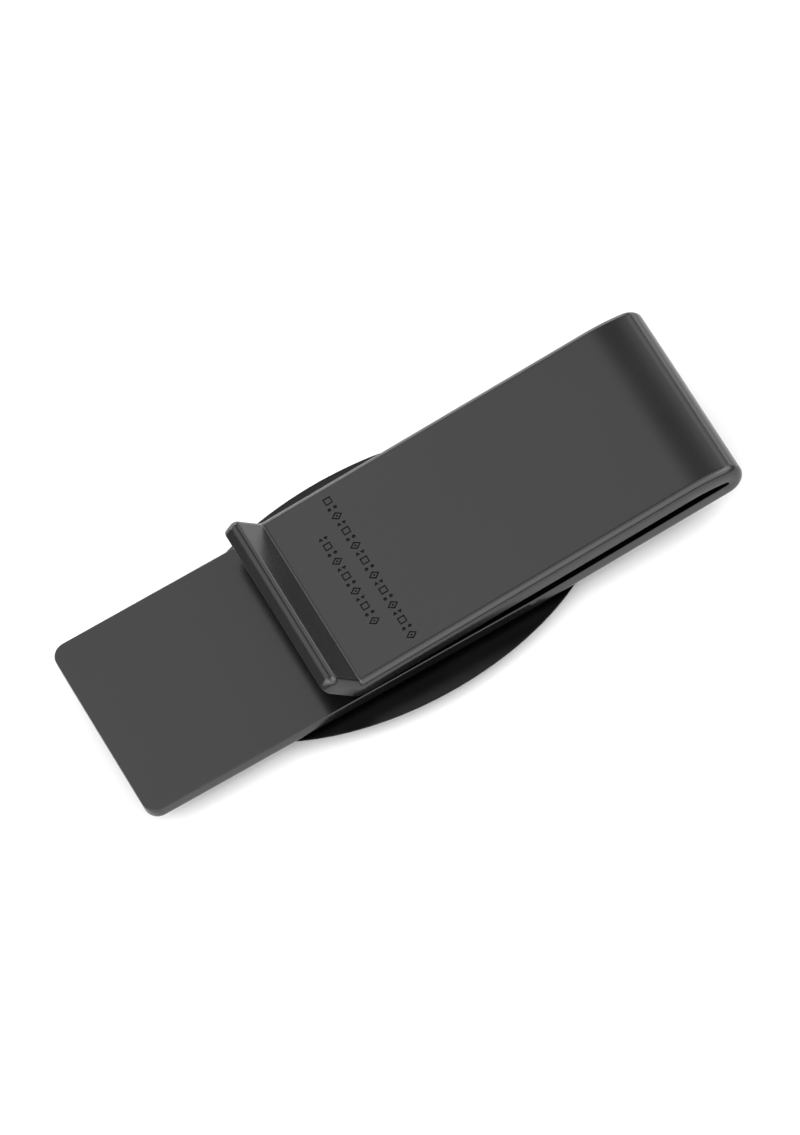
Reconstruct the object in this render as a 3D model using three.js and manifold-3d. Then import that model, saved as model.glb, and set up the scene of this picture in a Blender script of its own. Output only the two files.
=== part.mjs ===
// Money clip: one strip of flat spring steel bent into a clip, with an oval enamelled emblem
// soldered under its front plate. It lies with the emblem down and the spring tongue on top.
//
// Millimetres. +X runs along the clip towards the fold, +Y across it and +Z up. The origin is
// under the middle of the clip, on the plane that the emblem's rim rests on.

import * as THREE from "three";
import { mergeVertices } from "three/addons/utils/BufferGeometryUtils.js";
import Module from "manifold-3d";

const wasm = await Module();
wasm.setup();

// ---------------------------------------------------------------- driving dimensions

const CLIP_LENGTH = 57; // the front plate's free end to the outside of the fold
const STRIP_WIDTH = 19;
const STRIP_THICKNESS = 1.5;
const EDGE_RADIUS = 0.4; // the rounding of the strip's long edges
const END_RADIUS = 0.5; // the rounding of its two cut ends
const PLATE_CORNER_RADIUS = 1.3; // the front plate's free corners, seen from above

const PLATE_BASE = 2; // the front plate's underside, above the resting plane
const HEEL_X = 7.5; // past here the front plate rises towards the fold
const HEEL_ANGLE = 2.6; // degrees
const HEEL_RADIUS = 20;
const FOLD_INNER_RADIUS = 0.25; // the tight part of the fold
const FOLD_ANGLE = 166;
const SHOULDER_RADIUS = 14; // the shallow bend that brings the tongue parallel to the plate

const TONGUE_END_X = -7.65; // where the tongue ends and the lip's bend begins
const LIP_RISE = 51; // degrees above the front plate
const LIP_INNER_RADIUS = 0.3;
const LIP_LENGTH = 3.35; // the straight part, past the bend

const EMBLEM_X = -1.5;
const EMBLEM_LENGTH = 39.6;
const EMBLEM_WIDTH = 24.4;
const EMBLEM_FLARE = 1.2; // how far its back reaches past its front, all round
const EMBLEM_FLARE_HEIGHT = 1.74; // from its front to where its side turns upright
const BOND_THICKNESS = 0.12;
const BOND_LENGTH = 20;
const BOND_WIDTH = 15;
const BOND_X = -5.5;
const BOND_CORNER_RADIUS = 3;

const RIM_WIDTH = 1.9; // from the emblem's outline to the enamel, flare included
const BORDER_WIDTH = 2.6; // the enamel border
const WALL_WIDTH = 0.5; // the metal wall between the two enamels
const WALL_SINK = 0.05; // how far the wall and the boss stop short of the rim
const RECESS_DEPTH = 0.7;
const ENAMEL_SINK = 0.12; // the enamel's surface, below the rim
const BOSS_LENGTH = 9;
const BOSS_WIDTH = 6;

const FIT_GAP = 0.02; // between pieces that are soldered or fired together
const PARTING_GAP = 0.03; // where the one strip is parted into its stretches

const BEND_STEP = 9; // degrees of bend to one facet
const EDGE_FACETS = 3;
const OVAL_SEGMENTS = 40;
const WELD_WITHIN = 1e-4; // points nearer than this are one point
const PAST = 1; // how far a cutting shape reaches past what it cuts

// ---------------------------------------------------------------- solids

// The solid of a closed geometry, for joining and cutting.
function solid(geometry) {
  const bare = geometry.clone();
  bare.deleteAttribute("normal");
  bare.deleteAttribute("uv");
  const merged = mergeVertices(bare, WELD_WITHIN);
  const vertProperties = merged.attributes.position.array;
  const triVerts = new Uint32Array(merged.index.array);
  return new wasm.Manifold(new wasm.Mesh({ numProp: 3, vertProperties, triVerts }));
}

// The geometry of a solid, with each facet shaded flat.
function geometryOf(made) {
  const { vertProperties, triVerts } = made.getMesh();
  const indexed = new THREE.BufferGeometry();
  indexed.setAttribute("position", new THREE.BufferAttribute(vertProperties, 3));
  indexed.setIndex(new THREE.BufferAttribute(triVerts, 1));
  const facets = indexed.toNonIndexed();
  facets.computeVertexNormals();
  return facets;
}

// A flat outline raised from one height to another.
function slab(shape, bottom, top) {
  const depth = top - bottom;
  const options = { depth, bevelEnabled: false, curveSegments: OVAL_SEGMENTS };
  return solid(new THREE.ExtrudeGeometry(shape, options).translate(0, 0, bottom));
}

// ---------------------------------------------------------------- the strip's middle line

const radians = THREE.MathUtils.degToRad;
const HALF_LENGTH = CLIP_LENGTH / 2;
const HALF_THICKNESS = STRIP_THICKNESS / 2;
const FOLD_RADIUS = FOLD_INNER_RADIUS + HALF_THICKNESS; // of the middle line
const FOLD_CENTRE_X = HALF_LENGTH - FOLD_RADIUS - HALF_THICKNESS;

// The strip's path in the XZ plane, as stations with a heading. Each call adds a stretch and
// gives the number of its last station.
class MiddleLine {
  constructor(x, z) {
    this.stations = [{ x, z, heading: 0 }];
  }

  get end() {
    return this.stations.at(-1);
  }

  straight(length) {
    const { x, z, heading } = this.end;
    const ahead = [Math.cos(heading), Math.sin(heading)];
    return this.stations.push({ x: x + length * ahead[0], z: z + length * ahead[1], heading }) - 1;
  }

  // Straight on until the line has reached this x.
  straightTo(x) {
    return this.straight((x - this.end.x) / Math.cos(this.end.heading));
  }

  // Round an arc: a positive angle turns from +X towards +Z.
  bend(radius, degrees) {
    const { x, z, heading } = this.end;
    const side = Math.sign(degrees) * radius;
    const centre = [x - side * Math.sin(heading), z + side * Math.cos(heading)];
    const steps = Math.ceil(Math.abs(degrees) / BEND_STEP);
    for (let step = 1; step <= steps; step += 1) {
      const turned = heading + (radians(degrees) * step) / steps;
      this.stations.push({
        x: centre[0] + side * Math.sin(turned),
        z: centre[1] - side * Math.cos(turned),
        heading: turned,
      });
    }
    return this.stations.length - 1;
  }
}

const line = new MiddleLine(-HALF_LENGTH, PLATE_BASE + HALF_THICKNESS);
line.straightTo(HEEL_X);
line.bend(HEEL_RADIUS, HEEL_ANGLE);
const foldStart = line.straightTo(FOLD_CENTRE_X + FOLD_RADIUS * Math.sin(radians(HEEL_ANGLE)));
line.bend(FOLD_RADIUS, FOLD_ANGLE);
const foldEnd = line.bend(SHOULDER_RADIUS, 180 - FOLD_ANGLE);
const lipStart = line.straightTo(TONGUE_END_X);
line.bend(LIP_INNER_RADIUS + HALF_THICKNESS, -(LIP_RISE + HEEL_ANGLE));
const lipEnd = line.straight(LIP_LENGTH);

// ---------------------------------------------------------------- the strip's stretches

// The stations that round off a free end. inward is 1 at the line's start and -1 at its end.
function roundedEnd({ x, z, heading }, inward) {
  const rounded = [];
  for (let facet = 0; facet <= EDGE_FACETS; facet += 1) {
    const turn = ((Math.PI / 2) * facet) / EDGE_FACETS;
    const back = inward * END_RADIUS * (1 - Math.cos(turn));
    rounded.push({
      x: x + back * Math.cos(heading),
      z: z + back * Math.sin(heading),
      heading,
      half: HALF_THICKNESS - END_RADIUS * (1 - Math.sin(turn)),
    });
  }
  return inward > 0 ? rounded : rounded.reverse();
}

const CARRIED_ON = 3 * EDGE_RADIUS;

// A parted end carried on past its cut, so that the cut takes away the outline's rounding there.
function carriedOn({ x, z, heading }, ahead) {
  const length = ahead * CARRIED_ON;
  return { x: x + length * Math.cos(heading), z: z + length * Math.sin(heading), heading };
}

// The strip between two stations, with its long edges rounded. A parted end that is straight
// moves to where it is carried on to, because a station left on a straight line isn't a corner.
function ribbon(first, last) {
  const run = line.stations.slice(first, last + 1);
  const straightStart = run[0].heading === run[1].heading;
  const straightEnd = run.at(-1).heading === run.at(-2).heading;
  if (last === lipEnd) run.splice(-1, 1, ...roundedEnd(run.at(-1), -1));
  else run.splice(run.length - Number(straightEnd), Number(straightEnd), carriedOn(run.at(-1), 1));
  if (first === 0) run.splice(0, 1, ...roundedEnd(run[0], 1));
  else run.splice(0, Number(straightStart), carriedOn(run[0], -1));
  const beside = (side) => (station) => {
    const reach = side * (station.half ?? HALF_THICKNESS);
    const { x, z, heading } = station;
    return new THREE.Vector2(x - reach * Math.sin(heading), z + reach * Math.cos(heading));
  };
  const outline = new THREE.Shape([...run.map(beside(-1)), ...run.map(beside(1)).reverse()]);
  const geometry = new THREE.ExtrudeGeometry(outline, {
    depth: STRIP_WIDTH - 2 * EDGE_RADIUS,
    bevelThickness: EDGE_RADIUS,
    bevelSize: EDGE_RADIUS,
    bevelOffset: -EDGE_RADIUS,
    bevelSegments: EDGE_FACETS,
  });
  geometry.rotateX(Math.PI / 2); // the outline's y becomes z, and its depth runs towards -Y
  geometry.translate(0, STRIP_WIDTH / 2 - EDGE_RADIUS, 0);
  return solid(geometry);
}

// The block that takes away what is carried on past a cut, and half of the parting there. It is
// lower than the gap beside the strip, so that it leaves the other limb of the fold alone.
function pastCut(number, ahead) {
  const { x, z, heading } = line.stations[number];
  const height = STRIP_THICKNESS + FOLD_INNER_RADIUS;
  const geometry = new THREE.BoxGeometry(2 * CARRIED_ON, 2 * STRIP_WIDTH, height);
  geometry.translate(ahead * (CARRIED_ON - PARTING_GAP / 2), 0, 0);
  geometry.rotateY(-heading);
  geometry.translate(x, 0, z);
  return solid(geometry);
}

// The plate as seen from above: the free end's two corners are round.
function plateOutline() {
  const [end, side, round] = [-HALF_LENGTH, STRIP_WIDTH / 2, PLATE_CORNER_RADIUS];
  const outline = new THREE.Shape();
  outline.moveTo(HALF_LENGTH, -side);
  outline.lineTo(HALF_LENGTH, side);
  outline.absarc(end + round, side - round, round, Math.PI / 2, Math.PI, false);
  outline.absarc(end + round, round - side, round, Math.PI, Math.PI * 1.5, false);
  return outline;
}

function frontPlate() {
  const plan = slab(plateOutline(), 0, line.stations[foldStart].z + STRIP_THICKNESS);
  return ribbon(0, foldStart).subtract(pastCut(foldStart, 1)).intersect(plan);
}

function foldBend() {
  return ribbon(foldStart, foldEnd).subtract(pastCut(foldStart, -1)).subtract(pastCut(foldEnd, 1));
}

function springTongue() {
  return ribbon(foldEnd, lipStart).subtract(pastCut(foldEnd, -1)).subtract(pastCut(lipStart, 1));
}

function fingerLip() {
  return ribbon(lipStart, lipEnd).subtract(pastCut(lipStart, -1));
}

// ---------------------------------------------------------------- the emblem and its bond

const EMBLEM_BACK = PLATE_BASE - BOND_THICKNESS - 2 * FIT_GAP;

// The emblem's outline drawn in by an inset.
function oval(inset) {
  const outline = new THREE.Shape();
  const [long, short] = [EMBLEM_LENGTH / 2 - inset, EMBLEM_WIDTH / 2 - inset];
  outline.absellipse(EMBLEM_X, 0, long, short, 0, Math.PI * 2);
  return outline;
}

// The raised middle of the emblem, drawn out by grow.
function bossOutline(grow) {
  const outline = new THREE.Shape();
  const [long, short] = [BOSS_LENGTH / 2 + grow, BOSS_WIDTH / 2 + grow];
  outline.absellipse(EMBLEM_X, 0, long, short, 0, Math.PI * 2);
  return outline;
}

// A ring or a field: the outer outline's slab less the inner one's.
function between(outer, inner, bottom, top) {
  return slab(outer, bottom, top).subtract(slab(inner, bottom - PAST, top + PAST));
}

// The insets of the metal and enamel, from the outline to the middle.
const BORDER_IN = RIM_WIDTH + BORDER_WIDTH;
const FIELD_OUT = BORDER_IN + WALL_WIDTH;

function emblemBase() {
  const blank = solid(
    new THREE.ExtrudeGeometry(oval(0), {
      depth: EMBLEM_BACK,
      bevelThickness: EMBLEM_FLARE_HEIGHT,
      bevelSize: EMBLEM_FLARE,
      bevelOffset: -EMBLEM_FLARE,
      bevelSegments: 1,
      curveSegments: OVAL_SEGMENTS,
    }).translate(0, 0, EMBLEM_FLARE_HEIGHT),
  );
  const keep = slab(oval(-PAST), 0, EMBLEM_BACK);
  const border = between(oval(RIM_WIDTH), oval(BORDER_IN), -PAST, RECESS_DEPTH);
  const field = between(oval(FIELD_OUT), bossOutline(0), -PAST, RECESS_DEPTH);
  const sink = slab(oval(RIM_WIDTH), -PAST, WALL_SINK);
  return blank.intersect(keep).subtract(border).subtract(field).subtract(sink);
}

function enamelBorder() {
  const [outer, inner] = [oval(RIM_WIDTH + FIT_GAP), oval(BORDER_IN - FIT_GAP)];
  return between(outer, inner, ENAMEL_SINK, RECESS_DEPTH - FIT_GAP);
}

function enamelField() {
  const [outer, inner] = [oval(FIELD_OUT + FIT_GAP), bossOutline(FIT_GAP)];
  return between(outer, inner, ENAMEL_SINK, RECESS_DEPTH - FIT_GAP);
}

function solderBond() {
  const [long, short, round] = [BOND_LENGTH / 2, BOND_WIDTH / 2, BOND_CORNER_RADIUS];
  const outline = new THREE.Shape();
  outline.absarc(BOND_X + long - round, round - short, round, -Math.PI / 2, 0, false);
  outline.absarc(BOND_X + long - round, short - round, round, 0, Math.PI / 2, false);
  outline.absarc(BOND_X - long + round, short - round, round, Math.PI / 2, Math.PI, false);
  outline.absarc(BOND_X - long + round, round - short, round, Math.PI, Math.PI * 1.5, false);
  return slab(outline, EMBLEM_BACK + FIT_GAP, PLATE_BASE - FIT_GAP);
}

// ---------------------------------------------------------------- materials and assembly

function finish(color, roughness, metalness) {
  return new THREE.MeshStandardMaterial({ color, roughness, metalness });
}

const blackPlatedSteel = finish(0x2b2b2d, 0.42, 0.85);
const glossPlating = finish(0x121214, 0.2, 0.85);
const blackEnamel = finish(0x08080a, 0.12, 0);
const slateEnamel = finish(0x1d2b3a, 0.12, 0);
const tinSolder = finish(0x8f9092, 0.5, 0.9);

const clip = new THREE.Group();

function addPiece(name, made, material) {
  const mesh = new THREE.Mesh(geometryOf(made), material.clone());
  mesh.name = name;
  clip.add(mesh);
}

addPiece("front_plate", frontPlate(), blackPlatedSteel);
addPiece("fold_bend", foldBend(), blackPlatedSteel);
addPiece("spring_tongue", springTongue(), blackPlatedSteel);
addPiece("finger_lip", fingerLip(), blackPlatedSteel);
addPiece("solder_bond", solderBond(), tinSolder);
addPiece("emblem_base", emblemBase(), glossPlating);
addPiece("enamel_border", enamelBorder(), blackEnamel);
addPiece("enamel_field", enamelField(), slateEnamel);

export default clip;
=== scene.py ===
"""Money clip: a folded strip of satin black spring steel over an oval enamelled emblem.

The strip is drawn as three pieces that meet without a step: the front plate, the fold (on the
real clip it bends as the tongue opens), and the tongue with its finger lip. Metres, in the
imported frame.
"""
from math import cos, pi, radians, sin

import bmesh
import bpy
from mathutils import Matrix, Vector


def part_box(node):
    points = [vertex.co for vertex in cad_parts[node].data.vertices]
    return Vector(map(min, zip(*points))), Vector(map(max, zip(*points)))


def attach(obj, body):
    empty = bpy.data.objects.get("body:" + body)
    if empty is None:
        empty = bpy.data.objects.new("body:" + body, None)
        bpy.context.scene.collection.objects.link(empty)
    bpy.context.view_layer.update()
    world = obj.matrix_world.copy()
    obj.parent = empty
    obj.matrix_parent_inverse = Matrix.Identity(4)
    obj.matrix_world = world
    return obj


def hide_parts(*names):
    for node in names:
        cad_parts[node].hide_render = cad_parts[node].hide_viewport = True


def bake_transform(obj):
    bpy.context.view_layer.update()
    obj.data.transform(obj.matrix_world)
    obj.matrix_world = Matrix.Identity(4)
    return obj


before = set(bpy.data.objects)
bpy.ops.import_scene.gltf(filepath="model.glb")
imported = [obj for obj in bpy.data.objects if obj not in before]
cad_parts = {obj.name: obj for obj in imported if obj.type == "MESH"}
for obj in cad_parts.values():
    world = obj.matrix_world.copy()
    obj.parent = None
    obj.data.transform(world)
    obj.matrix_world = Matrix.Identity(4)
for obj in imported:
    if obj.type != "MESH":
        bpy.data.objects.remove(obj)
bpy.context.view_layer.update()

MM = 0.001

# ------------------------------------------------------------------ sizes from the frame

PLATE_LOW, PLATE_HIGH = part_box("front_plate")
FOLD_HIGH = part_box("fold_bend")[1]
EMBLEM_LOW, EMBLEM_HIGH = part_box("emblem_base")

FREE_END_X = PLATE_LOW.x
FOLD_END_X = FOLD_HIGH.x
HALF_WIDTH = PLATE_HIGH.y
PLATE_BASE = PLATE_LOW.z

# ------------------------------------------------------------------ the strip's own sizes

THICKNESS = 1.5 * MM
HALF = THICKNESS / 2
OUTER_EDGE = 0.7 * MM  # stamping rolls the edges of the face that is outside at the fold
INNER_EDGE = 0.1 * MM
PLATE_CORNER = 1.3 * MM
LIP_CORNER = 0.9 * MM

HEEL_X = 7.5 * MM
HEEL_ANGLE = radians(2.6)
HEEL_RADIUS = 20 * MM
FOLD_RADIUS = 0.25 * MM + HALF
FOLD_ANGLE = radians(166)
SHOULDER_RADIUS = 14 * MM
TONGUE_END_X = -7.65 * MM
LIP_RISE = radians(51)
LIP_BEND_RADIUS = 0.3 * MM + HALF
LIP_LENGTH = 3.3 * MM

JOIN = 0.3 * MM  # the straight that the fold piece keeps at each end
OUTER_SEGMENTS = 8
INNER_SEGMENTS = 3
STEP = radians(4)  # of a bend, to one facet
SHARP = radians(60)
CLOSE = 0.001 * MM  # nearer than this is the same place
CORNER_SEGMENTS = 10
HEEL_STEPS = 3
SHOULDER_STEP = radians(1.5)

# ------------------------------------------------------------------ the stamped marks' sizes

STAMP_DEPTH = 0.1 * MM
STAMP_STROKE = 0.17 * MM
STAMP_PITCH = 0.86 * MM
STAMP_ROWS = ((-2.2 * MM, 19), (-4.2 * MM, 12))  # each row's x and how many marks it has
LOZENGE_LONG, LOZENGE_WIDE, LOZENGE_DOT = 0.52 * MM, 0.42 * MM, 0.1 * MM
SQUARE = 0.5 * MM  # half of its diagonal
DOT, DOT_SHIFT = 0.17 * MM, 0.28 * MM
TRIANGLE, TRIANGLE_SHIFT = 0.24 * MM, 0.24 * MM

# ------------------------------------------------------------------ the emblem's own sizes

EMBLEM_X = (EMBLEM_LOW.x + EMBLEM_HIGH.x) / 2
EMBLEM_LONG = (EMBLEM_HIGH.x - EMBLEM_LOW.x) / 2
EMBLEM_SHORT = (EMBLEM_HIGH.y - EMBLEM_LOW.y) / 2
EMBLEM_BACK = EMBLEM_HIGH.z
EMBLEM_SEGMENTS = 160
FLARE = 1.2 * MM
RIM = 1.9 * MM  # from the outline to the enamel
BORDER = 4.5 * MM  # from the outline to the wall between the enamels
FIELD = 5.0 * MM  # from the outline to the inner enamel
BOSS_LONG, BOSS_SHORT = 4.5 * MM, 3.0 * MM
RECESS = 0.7 * MM
WALL_TOP = 0.05 * MM
ENAMEL_TOP = 0.11 * MM
SOFT = 0.05 * MM  # the small roundings of the emblem's edges, drawn in fractions of this
FIRED_GAP = 0.02 * MM
RAYS = 48


# ------------------------------------------------------------------ mesh tools

def finished(name, bm, material, body=None, stands_for=()):
    """Makes the bmesh a named piece, riding on a body and standing for CAD nodes."""
    mesh = bpy.data.meshes.new(name)
    bm.to_mesh(mesh)
    bm.free()
    piece = bpy.data.objects.new(name, mesh)
    bpy.context.scene.collection.objects.link(piece)
    mesh.materials.append(material)
    for polygon in mesh.polygons:
        polygon.use_smooth = True
    weighted = piece.modifiers.new("even_shading", "WEIGHTED_NORMAL")
    weighted.keep_sharp = True
    if stands_for:
        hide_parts(*stands_for)
    if body:
        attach(piece, body)
    return piece


def bevelled(bm, edges, width, segments):
    return bmesh.ops.bevel(
        bm, geom=edges, affect="EDGES", offset=width, offset_type="OFFSET",
        segments=segments, profile=0.5, material=-1, clamp_overlap=False,
    )


def faces_of(geometry):
    return [g for g in geometry if isinstance(g, bmesh.types.BMFace)]


def verts_of(geometry):
    return [g for g in geometry if isinstance(g, bmesh.types.BMVert)]


# ------------------------------------------------------------------ the strip

class Strip:
    """A stretch of the strip, drawn from a place and a heading in the XZ plane."""

    def __init__(self, x, z, heading):
        self.bm = bmesh.new()
        self.x, self.z, self.heading = x, z, heading
        corners = [(-1, -1), (1, -1), (1, 1), (-1, 1)]
        across = Vector((-sin(heading), 0, cos(heading)))
        middle = Vector((x, 0, z))
        self.outer = self.bm.verts.layers.int.new("outer")
        verts = [
            self.bm.verts.new(middle + across * (up * HALF) + Vector((0, side * HALF_WIDTH, 0)))
            for side, up in corners
        ]
        for vert in verts[:2]:
            vert[self.outer] = 1
        self.first = self.bm.faces.new(verts)
        self.last = self.first

    def carry_on(self, made):
        """Makes the new end the last one. The face it grew from would be left inside."""
        if self.last is not self.first:
            bmesh.ops.delete(self.bm, geom=[self.last], context="FACES_ONLY")
        self.last = faces_of(made)[0]

    def straight(self, length):
        made = bmesh.ops.extrude_face_region(self.bm, geom=[self.last])["geom"]
        step = Vector((cos(self.heading), 0, sin(self.heading))) * length
        bmesh.ops.translate(self.bm, verts=verts_of(made), vec=step)
        self.carry_on(made)
        self.x += step.x
        self.z += step.z

    def straight_to(self, x):
        self.straight((x - self.x) / cos(self.heading))

    def bend(self, radius, angle, step=STEP):
        """Round an arc: a positive angle turns from +X towards +Z."""
        side = radius if angle > 0 else -radius
        centre = Vector((self.x - side * sin(self.heading), 0, self.z + side * cos(self.heading)))
        made = bmesh.ops.spin(
            self.bm, geom=[self.last], cent=centre, axis=(0, -1, 0), dvec=(0, 0, 0),
            angle=angle, steps=max(1, round(abs(angle) / step)),
        )["geom_last"]
        self.carry_on(made)
        self.heading += angle
        self.x = centre.x + side * sin(self.heading)
        self.z = centre.z - side * cos(self.heading)

    def corners(self, cap, radius):
        """Rounds the two corners of a free end, seen along the strip's thickness."""
        upright = [e for e in cap.edges if abs(e.verts[0].co.y - e.verts[1].co.y) < HALF]
        bevelled(self.bm, upright, radius, CORNER_SEGMENTS)

    def rounded(self, parted):
        """Rounds every edge but those of the parted ends, which stay sharp and flat."""
        ends = [(cap.calc_center_median(), cap.normal.copy()) for cap in parted]
        sharp = [
            e for e in self.bm.edges
            if e.calc_face_angle() > SHARP and not set(parted) & set(e.link_faces)
        ]
        rolled = [e for e in sharp if all(v[self.outer] for v in e.verts)]
        kept = [e for e in sharp if e not in rolled]
        bevelled(self.bm, rolled, OUTER_EDGE, OUTER_SEGMENTS)
        kept = [e for e in kept if e.is_valid]
        bevelled(self.bm, kept, INNER_EDGE, INNER_SEGMENTS)
        bmesh.ops.recalc_face_normals(self.bm, faces=self.bm.faces)
        for place, facing in ends:
            for edge in self.bm.edges:
                if all(abs((v.co - place).dot(facing)) < CLOSE for v in edge.verts):
                    edge.smooth = False
        return self.bm


def front_plate(material):
    strip = Strip(FREE_END_X, PLATE_BASE + HALF, 0)
    end = strip.first
    strip.straight_to(HEEL_X)
    strip.bend(HEEL_RADIUS, HEEL_ANGLE, HEEL_ANGLE / HEEL_STEPS)
    fold_centre_x = FOLD_END_X - FOLD_RADIUS - HALF
    strip.straight_to(fold_centre_x + FOLD_RADIUS * sin(HEEL_ANGLE) - JOIN * cos(HEEL_ANGLE))
    joint = (strip.x, strip.z, strip.heading)
    strip.corners(end, PLATE_CORNER)
    bm = strip.rounded([strip.last])
    finished("front_plate_strip", bm, material, "root", ["front_plate"])
    return joint


def fold(material, joint):
    strip = Strip(*joint)
    start = strip.first
    strip.straight(JOIN)
    strip.bend(FOLD_RADIUS, FOLD_ANGLE)
    strip.bend(SHOULDER_RADIUS, pi - FOLD_ANGLE, SHOULDER_STEP)
    strip.straight(JOIN)
    after = (strip.x, strip.z, strip.heading)
    bm = strip.rounded([start, strip.last])
    piece = finished("fold_strip", bm, material, None, ["fold_bend"])
    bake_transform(piece)
    return after


def tongue(material, painted_shade, joint):
    strip = Strip(*joint)
    start = strip.first
    strip.straight_to(TONGUE_END_X)
    strip.bend(LIP_BEND_RADIUS, -(LIP_RISE + HEEL_ANGLE))
    strip.straight(LIP_LENGTH)
    strip.corners(strip.last, LIP_CORNER)
    bm = strip.rounded([start])
    piece = finished(
        "spring_tongue_strip", bm, material, "tongue",
        ["spring_tongue", "finger_lip"],
    )
    stamp(piece, joint, painted_shade)


# ------------------------------------------------------------------ the stamped marks

def pressed(bm, faces, depth):
    """Gives flat faces a depth along +Z, which makes them closed blocks."""
    made = bmesh.ops.extrude_face_region(bm, geom=faces)["geom"]
    bmesh.ops.translate(bm, verts=verts_of(made), vec=(0, 0, depth))


def stamp_ring(bm, place, sides, long, wide):
    """A ring of one stroke's width. long and wide are its half-axes."""
    edges = []
    for less in (0, STAMP_STROKE):
        size = Matrix.Diagonal((long - less, wide - less, 1, 1))
        verts = bmesh.ops.create_circle(
            bm, segments=sides, radius=1, matrix=place @ size,
        )["verts"]
        edges += {e for v in verts for e in v.link_edges}
    pressed(bm, bmesh.ops.bridge_loops(bm, edges=edges)["faces"], 2 * STAMP_DEPTH)


def stamp_dot(bm, place, sides, radius):
    """A small filled mark with this many sides."""
    verts = bmesh.ops.create_circle(
        bm, segments=sides, radius=radius, cap_ends=True, matrix=place,
    )["verts"]
    pressed(bm, list({f for v in verts for f in v.link_faces}), 2 * STAMP_DEPTH)


def stamp_row(bm, x, count):
    """One row of plain marks across the tongue: lozenges, dots, squares and triangles."""
    for number in range(count):
        place = Matrix.Translation((x, (number - (count - 1) / 2) * STAMP_PITCH, -STAMP_DEPTH))
        kind = number % 4
        if kind == 0:
            stamp_ring(bm, place, 4, LOZENGE_LONG, LOZENGE_WIDE)
            stamp_dot(bm, place, 8, LOZENGE_DOT)
        elif kind == 1:
            for along in (-DOT_SHIFT, DOT_SHIFT):
                stamp_dot(bm, place @ Matrix.Translation((along, 0, 0)), 12, DOT)
        elif kind == 2:
            stamp_ring(bm, place @ Matrix.Rotation(pi / 4, 4, "Z"), 4, SQUARE, SQUARE)
        else:
            for along, turn in ((-TRIANGLE_SHIFT, 0), (TRIANGLE_SHIFT, pi)):
                shift = Matrix.Translation((along, 0, 0))
                stamp_dot(bm, place @ shift @ Matrix.Rotation(turn, 4, "Z"), 3, TRIANGLE)


def stamp(piece, joint, painted_shade):
    """Presses the marks into the top of the tongue, in the plane of its top. Their walls and
    floors take the cutter's painted-shade material.
    """
    x, z, _ = joint
    bm = bmesh.new()
    for row_x, count in STAMP_ROWS:
        stamp_row(bm, row_x / cos(HEEL_ANGLE) - x, count)
    top = Vector((-sin(HEEL_ANGLE), 0, cos(HEEL_ANGLE))) * HALF
    place = Matrix.Translation(Vector((x, 0, z)) + top) @ Matrix.Rotation(-HEEL_ANGLE, 4, "Y")
    bmesh.ops.transform(bm, matrix=place, verts=bm.verts)
    bmesh.ops.recalc_face_normals(bm, faces=bm.faces)
    mesh = bpy.data.meshes.new("stamp")
    bm.to_mesh(mesh)
    bm.free()
    # the cutter's material is painted shade, carried onto the marks' walls and floors
    mesh.materials.append(painted_shade)
    cutter = bpy.data.objects.new("stamp", mesh)
    bpy.context.scene.collection.objects.link(cutter)
    cut = piece.modifiers.new("stamp", "BOOLEAN")
    cut.operation = "DIFFERENCE"
    cut.solver = "EXACT"
    cut.material_mode = "TRANSFER"
    cut.object = cutter
    shading = piece.modifiers["even_shading"]
    shading.show_viewport = False
    evaluated = piece.evaluated_get(bpy.context.evaluated_depsgraph_get())
    piece.data = bpy.data.meshes.new_from_object(evaluated)
    piece.modifiers.remove(cut)
    shading.show_viewport = True
    bpy.data.objects.remove(cutter)


# ------------------------------------------------------------------ the emblem

def oval(bm, long, short, z):
    """An oval loop of edges round the emblem's middle."""
    place = Matrix.Translation((EMBLEM_X, 0, z)) @ Matrix.Diagonal((long, short, 1, 1))
    verts = bmesh.ops.create_circle(
        bm, segments=EMBLEM_SEGMENTS, radius=1, matrix=place,
    )["verts"]
    return list({e for v in verts for e in v.link_edges})


def oval_solid(profile, closed):
    """A solid whose section is the profile, carried round the oval. Each point of the profile
    is a long and a short half-axis and a height. An open profile has flat middles."""
    bm = bmesh.new()
    edges = oval(bm, *profile[0])
    if not closed:
        bmesh.ops.edgeloop_fill(bm, edges=edges)
    ahead = profile[1:] + profile[:1] if closed else profile[1:]
    for (long, short, z), (next_long, next_short, next_z) in zip(profile, ahead):
        verts = verts_of(bmesh.ops.extrude_edge_only(bm, edges=edges)["geom"])
        grow = Matrix.Diagonal((next_long / long, next_short / short, 1, 1))
        centre = Matrix.Translation((-EMBLEM_X, 0, -z))
        place = Matrix.Translation((EMBLEM_X, 0, next_z)) @ grow @ centre
        bmesh.ops.transform(bm, matrix=place, verts=verts)
        edges = list({e for v in verts for e in v.link_edges if e.other_vert(v) in verts})
    if closed:
        bmesh.ops.remove_doubles(bm, verts=bm.verts, dist=CLOSE)
    else:
        bmesh.ops.edgeloop_fill(bm, edges=edges)
    bmesh.ops.recalc_face_normals(bm, faces=bm.faces)
    return bm


def sharpened(bm):
    """Keeps the corners sharp, so that flat faces shade flat."""
    for edge in bm.edges:
        if edge.calc_face_angle(0) > SHARP / 2:
            edge.smooth = False
    return bm


def from_outline(inset, z):
    return (EMBLEM_LONG - inset, EMBLEM_SHORT - inset, z)


def from_boss(grow, z):
    return (BOSS_LONG + grow, BOSS_SHORT + grow, z)


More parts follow.
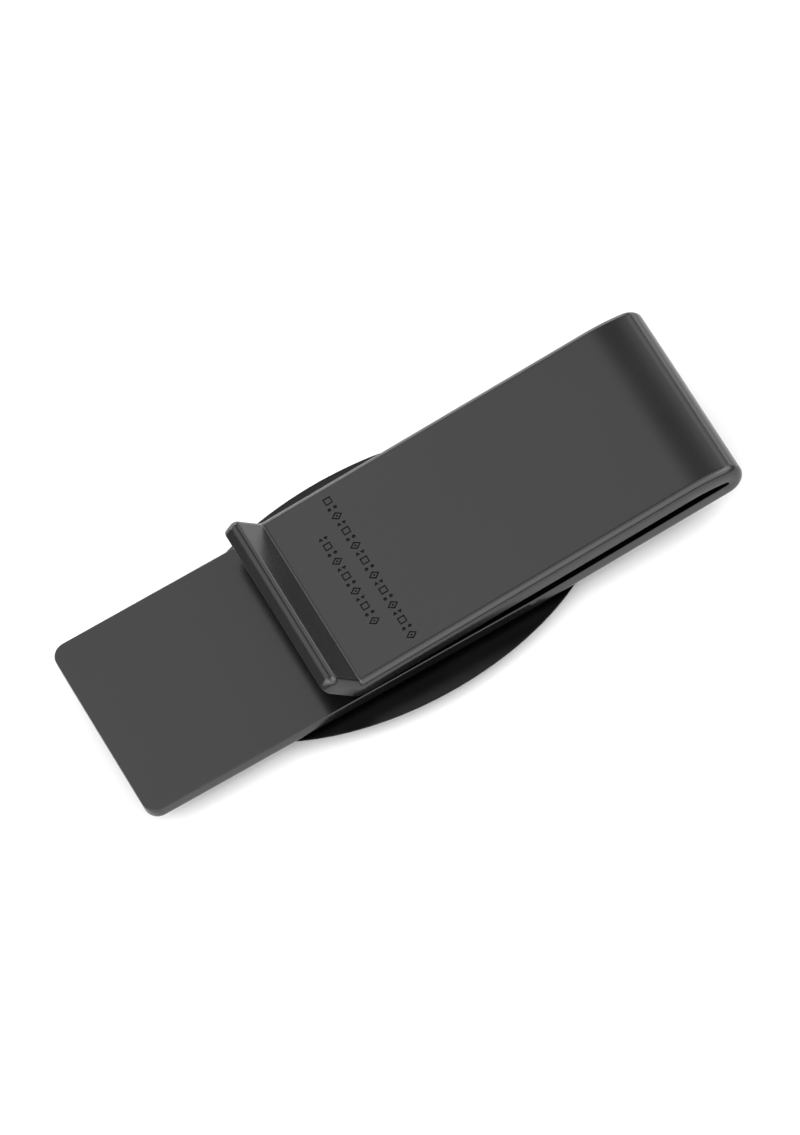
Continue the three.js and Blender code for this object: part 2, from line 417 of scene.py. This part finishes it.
def emblem_base(material):
    profile = [
        from_outline(2 * SOFT, EMBLEM_BACK),
        from_outline(0.6 * SOFT, EMBLEM_BACK - 0.4 * SOFT),
        from_outline(0, EMBLEM_BACK - 1.6 * SOFT),
        from_outline(FLARE - SOFT, 1.6 * SOFT),
        from_outline(FLARE - 0.4 * SOFT, 0.4 * SOFT),
        from_outline(FLARE + SOFT, 0),
        from_outline(RIM - SOFT, 0),
        from_outline(RIM - 0.3 * SOFT, 0.3 * SOFT),
        from_outline(RIM, SOFT),
        from_outline(RIM, RECESS),
        from_outline(BORDER, RECESS),
        from_outline(BORDER, WALL_TOP + SOFT),
        from_outline(BORDER + 0.3 * SOFT, WALL_TOP + 0.3 * SOFT),
        from_outline(BORDER + SOFT, WALL_TOP),
        from_outline(FIELD - SOFT, WALL_TOP),
        from_outline(FIELD - 0.3 * SOFT, WALL_TOP + 0.3 * SOFT),
        from_outline(FIELD, WALL_TOP + SOFT),
        from_outline(FIELD, RECESS),
        from_boss(0, RECESS),
        from_boss(0, 4 * SOFT),
        from_boss(-SOFT, 2.4 * SOFT),
        from_boss(-4 * SOFT, 1.6 * SOFT),
        from_boss(-16 * SOFT, SOFT),
        from_boss(-30 * SOFT, 0.7 * SOFT),
    ]
    bm = sharpened(oval_solid(profile, closed=False))
    finished("emblem_blank", bm, material, "root", ["emblem_base"])


def enamel(name, outer, inner, material, node):
    """A ring of enamel, a little higher where it climbs the metal on both sides."""
    climb = 4 * SOFT
    profile = [
        outer(FIRED_GAP, RECESS - FIRED_GAP),
        outer(FIRED_GAP, ENAMEL_TOP),
        outer(climb, ENAMEL_TOP + 0.3 * SOFT),
        inner(climb, ENAMEL_TOP + 0.3 * SOFT),
        inner(FIRED_GAP, ENAMEL_TOP),
        inner(FIRED_GAP, RECESS - FIRED_GAP),
    ]
    bm = sharpened(oval_solid(profile, closed=True))
    finished(name, bm, material, "root", [node])


def emblem():
    emblem_base(gloss_black_plating())
    enamel(
        "border_enamel", lambda grow, z: from_outline(RIM + grow, z),
        lambda grow, z: from_outline(BORDER - grow, z),
        black_enamel(), "enamel_border",
    )
    enamel(
        "field_enamel", lambda grow, z: from_outline(FIELD + grow, z), from_boss,
        slate_enamel(), "enamel_field",
    )


# ------------------------------------------------------------------ materials

def node_material(name, color, metallic, roughness):
    """A Principled material: (nodes, links, shader, material)."""
    material = bpy.data.materials.new(name)
    material.use_nodes = True
    nodes, links = material.node_tree.nodes, material.node_tree.links
    shader = nodes["Principled BSDF"]
    shader.inputs["Base Color"].default_value = (*color, 1)
    shader.inputs["Metallic"].default_value = metallic
    shader.inputs["Roughness"].default_value = roughness
    return nodes, links, shader, material


def object_noise(nodes, links, scale, detail=3.0, stretch=(1, 1, 1)):
    place = nodes.new("ShaderNodeTexCoord")
    mapping = nodes.new("ShaderNodeMapping")
    mapping.inputs["Scale"].default_value = stretch
    noise = nodes.new("ShaderNodeTexNoise")
    noise.inputs["Scale"].default_value = scale
    noise.inputs["Detail"].default_value = detail
    links.new(place.outputs["Object"], mapping.inputs["Vector"])
    links.new(mapping.outputs["Vector"], noise.inputs["Vector"])
    return noise.outputs["Fac"]


def ranged(nodes, links, value, low, high, start=0.1, end=0.9):
    """Carries a value from the range start to end over to the range low to high."""
    spread = nodes.new("ShaderNodeMapRange")
    spread.inputs["From Min"].default_value = start
    spread.inputs["From Max"].default_value = end
    spread.inputs["To Min"].default_value = low
    spread.inputs["To Max"].default_value = high
    links.new(value, spread.inputs["Value"])
    return spread.outputs["Result"]


def bumped(nodes, links, shader, height, strength, distance):
    bump = nodes.new("ShaderNodeBump")
    bump.inputs["Strength"].default_value = strength
    bump.inputs["Distance"].default_value = distance
    links.new(height, bump.inputs["Height"])
    links.new(bump.outputs["Normal"], shader.inputs["Normal"])


def varied(nodes, links, shader, value, darker, lighter, roughness):
    """Varies the colour and the roughness with a value between 0 and 1."""
    links.new(mixed(nodes, links, value, darker, lighter), shader.inputs["Base Color"])
    links.new(ranged(nodes, links, value, *roughness), shader.inputs["Roughness"])


def mixed(nodes, links, factor, first, second):
    mix = nodes.new("ShaderNodeMix")
    mix.data_type = "RGBA"
    mix.inputs["A"].default_value = (*first, 1)
    mix.inputs["B"].default_value = (*second, 1)
    links.new(factor, mix.inputs["Factor"])
    return mix.outputs["Result"]


def sunrays(nodes, links):
    """Rays about the emblem's middle, as if engraved under clear enamel."""
    place = nodes.new("ShaderNodeTexCoord")
    shift = nodes.new("ShaderNodeMapping")
    shift.inputs["Location"].default_value = (-EMBLEM_X, 0, 0)
    parts = nodes.new("ShaderNodeSeparateXYZ")
    turn = nodes.new("ShaderNodeMath")
    turn.operation = "ARCTAN2"
    many = nodes.new("ShaderNodeMath")
    many.operation = "MULTIPLY"
    many.inputs[1].default_value = RAYS
    wave = nodes.new("ShaderNodeMath")
    wave.operation = "SINE"
    links.new(place.outputs["Object"], shift.inputs["Vector"])
    links.new(shift.outputs["Vector"], parts.inputs["Vector"])
    links.new(parts.outputs["Y"], turn.inputs[0])
    links.new(parts.outputs["X"], turn.inputs[1])
    links.new(turn.outputs["Value"], many.inputs[0])
    links.new(many.outputs["Value"], wave.inputs[0])
    return ranged(nodes, links, wave.outputs["Value"], 0, 1, -1, 1)


def satin_black_plating():
    color = (0.0625, 0.0625, 0.064)
    nodes, links, shader, material = node_material("satin_black_plating", color, 1, 0.25)
    cloud = object_noise(nodes, links, 90, 4)
    grain = object_noise(nodes, links, 2600, 2, (0.25, 1, 1))
    darker, lighter = (0.058, 0.058, 0.0595), (0.067, 0.067, 0.0685)
    varied(nodes, links, shader, cloud, darker, lighter, (0.22, 0.28))
    bumped(nodes, links, shader, grain, 0.06, 0.02 * MM)
    return material


def stamp_floor_painted_shade():
    """Painted shade at the bottom of the stamped marks: a darker plating colour stands in for the
    shade in these small recesses, with a duller roughness.
    """
    # darker than the tongue's plating: painted shade for the recesses
    color = (0.026, 0.026, 0.027)
    nodes, links, shader, material = node_material("stamp_floor_painted_shade", color, 1, 0.5)
    grit = object_noise(nodes, links, 5000, 2)
    darker, lighter = (0.018, 0.018, 0.019), (0.036, 0.036, 0.037)
    varied(nodes, links, shader, grit, darker, lighter, (0.42, 0.58))
    return material


def gloss_black_plating():
    color = (0.03, 0.03, 0.032)
    nodes, links, shader, material = node_material("gloss_black_plating", color, 1, 0.3)
    cloud = object_noise(nodes, links, 160, 4)
    darker, lighter = (0.026, 0.026, 0.028), (0.036, 0.036, 0.038)
    varied(nodes, links, shader, cloud, darker, lighter, (0.26, 0.34))
    bumped(nodes, links, shader, object_noise(nodes, links, 700, 2), 0.05, 0.03 * MM)
    return material


def black_enamel():
    color = (0.006, 0.006, 0.007)
    nodes, links, shader, material = node_material("black_enamel", color, 0, 0.08)
    shader.inputs["Coat Weight"].default_value = 0.6
    cloud = object_noise(nodes, links, 300, 3)
    darker, lighter = (0.005, 0.005, 0.006), (0.009, 0.009, 0.011)
    varied(nodes, links, shader, cloud, darker, lighter, (0.06, 0.12))
    return material


def slate_enamel():
    color = (0.02, 0.045, 0.08)
    nodes, links, shader, material = node_material("slate_enamel", color, 0, 0.08)
    shader.inputs["Coat Weight"].default_value = 0.6
    darker, lighter = (0.012, 0.03, 0.055), (0.035, 0.07, 0.115)
    rays = mixed(nodes, links, sunrays(nodes, links), darker, lighter)
    links.new(rays, shader.inputs["Base Color"])
    cloud = object_noise(nodes, links, 300, 3)
    links.new(ranged(nodes, links, cloud, 0.06, 0.12), shader.inputs["Roughness"])
    return material


def tin_solder():
    color = (0.45, 0.45, 0.46)
    nodes, links, shader, material = node_material("tin_solder", color, 1, 0.45)
    cloud = object_noise(nodes, links, 500, 4)
    darker, lighter = (0.36, 0.36, 0.37), (0.52, 0.52, 0.53)
    varied(nodes, links, shader, cloud, darker, lighter, (0.35, 0.6))
    return material


def refinish(node, material):
    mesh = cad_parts[node].data
    mesh.materials.clear()
    mesh.materials.append(material)


# ------------------------------------------------------------------ studio

CAMERA_AZIMUTH = radians(9)
CAMERA_ELEVATION = radians(57.5)
CAMERA_ROLL = radians(-21.6)
CAMERA_DISTANCE = 1.113
FRAME_HEIGHT_AT_CLIP = 94.58 * MM
AIM = Vector((0.19 * MM, 0.03 * MM, 3.07 * MM))  # the place in the middle of the frame
PANEL_DISTANCE = 0.7


def add_camera():
    ahead = Vector((
        cos(CAMERA_ELEVATION) * sin(CAMERA_AZIMUTH),
        cos(CAMERA_ELEVATION) * cos(CAMERA_AZIMUTH),
        -sin(CAMERA_ELEVATION),
    ))
    level = Vector((cos(CAMERA_AZIMUTH), -sin(CAMERA_AZIMUTH), 0))
    level_up = level.cross(ahead)
    right = level * cos(CAMERA_ROLL) + level_up * sin(CAMERA_ROLL)
    up = level_up * cos(CAMERA_ROLL) - level * sin(CAMERA_ROLL)
    turn = Matrix((right, up, -ahead)).transposed()
    camera = bpy.data.cameras.new("camera")
    camera.sensor_fit = "VERTICAL"
    camera.sensor_height = 24
    camera.lens = camera.sensor_height * CAMERA_DISTANCE / FRAME_HEIGHT_AT_CLIP
    camera.clip_start = 0.01
    holder = bpy.data.objects.new("camera", camera)
    holder.matrix_world = Matrix.Translation(AIM - ahead * CAMERA_DISTANCE) @ turn.to_4x4()
    bpy.context.scene.collection.objects.link(holder)
    bpy.context.scene.camera = holder


def add_floor():
    bm = bmesh.new()
    bmesh.ops.create_grid(bm, x_segments=1, y_segments=1, size=1.5)
    mesh = bpy.data.meshes.new("floor")
    bm.to_mesh(mesh)
    bm.free()
    floor = bpy.data.objects.new("floor", mesh)
    nodes, links, shader, material = node_material("white_sweep", (0.9, 0.9, 0.9), 0, 0.6)
    mesh.materials.append(material)
    bpy.context.scene.collection.objects.link(floor)


def add_panel(name, azimuth, elevation, size, radiance):
    """A soft light facing the clip. Azimuth 0 is behind it, on +Y, and 90 on +X."""
    light = bpy.data.lights.new(name, "AREA")
    light.shape = "RECTANGLE"
    light.size, light.size_y = size
    light.energy = radiance * pi * size[0] * size[1]
    panel = bpy.data.objects.new(name, light)
    turn, rise = radians(azimuth), radians(elevation)
    away = Vector((sin(turn) * cos(rise), cos(turn) * cos(rise), sin(rise)))
    panel.location = away * PANEL_DISTANCE
    panel.rotation_euler = away.to_track_quat("Z", "Y").to_euler()
    bpy.context.scene.collection.objects.link(panel)


def add_world(strength):
    world = bpy.data.worlds.new("studio")
    world.use_nodes = True
    background = world.node_tree.nodes["Background"]
    background.inputs["Color"].default_value = (1, 1, 1, 1)
    background.inputs["Strength"].default_value = strength
    bpy.context.scene.world = world


def main():
    add_camera()
    add_floor()
    add_world(0.35)
    add_panel("key", -33, 55, (0.62, 0.45), 1.02)
    add_panel("far_low", -8, 18, (1.0, 0.24), 4)
    add_panel("zenith", 180, 84, (1.2, 0.25), 1.0)
    add_panel("camera_side", 180, 45, (1.1, 0.7), 1.8)
    add_panel("left", -105, 40, (0.7, 0.5), 2.5)
    add_panel("right", 62, 38, (0.45, 0.34), 1.3)
    add_panel("right_low", 56, 8, (0.4, 0.16), 2.4)
    add_panel("right_front", 105, 42, (0.5, 0.5), 2.5)
    bpy.context.scene.view_settings.view_transform = "Standard"

    plating = satin_black_plating()
    plate_end = front_plate(plating)
    fold_end = fold(plating, plate_end)
    # the stamped marks get a darker material: painted shade in their recesses
    tongue(plating, stamp_floor_painted_shade(), fold_end)

    emblem()
    refinish("solder_bond", tin_solder())


main()
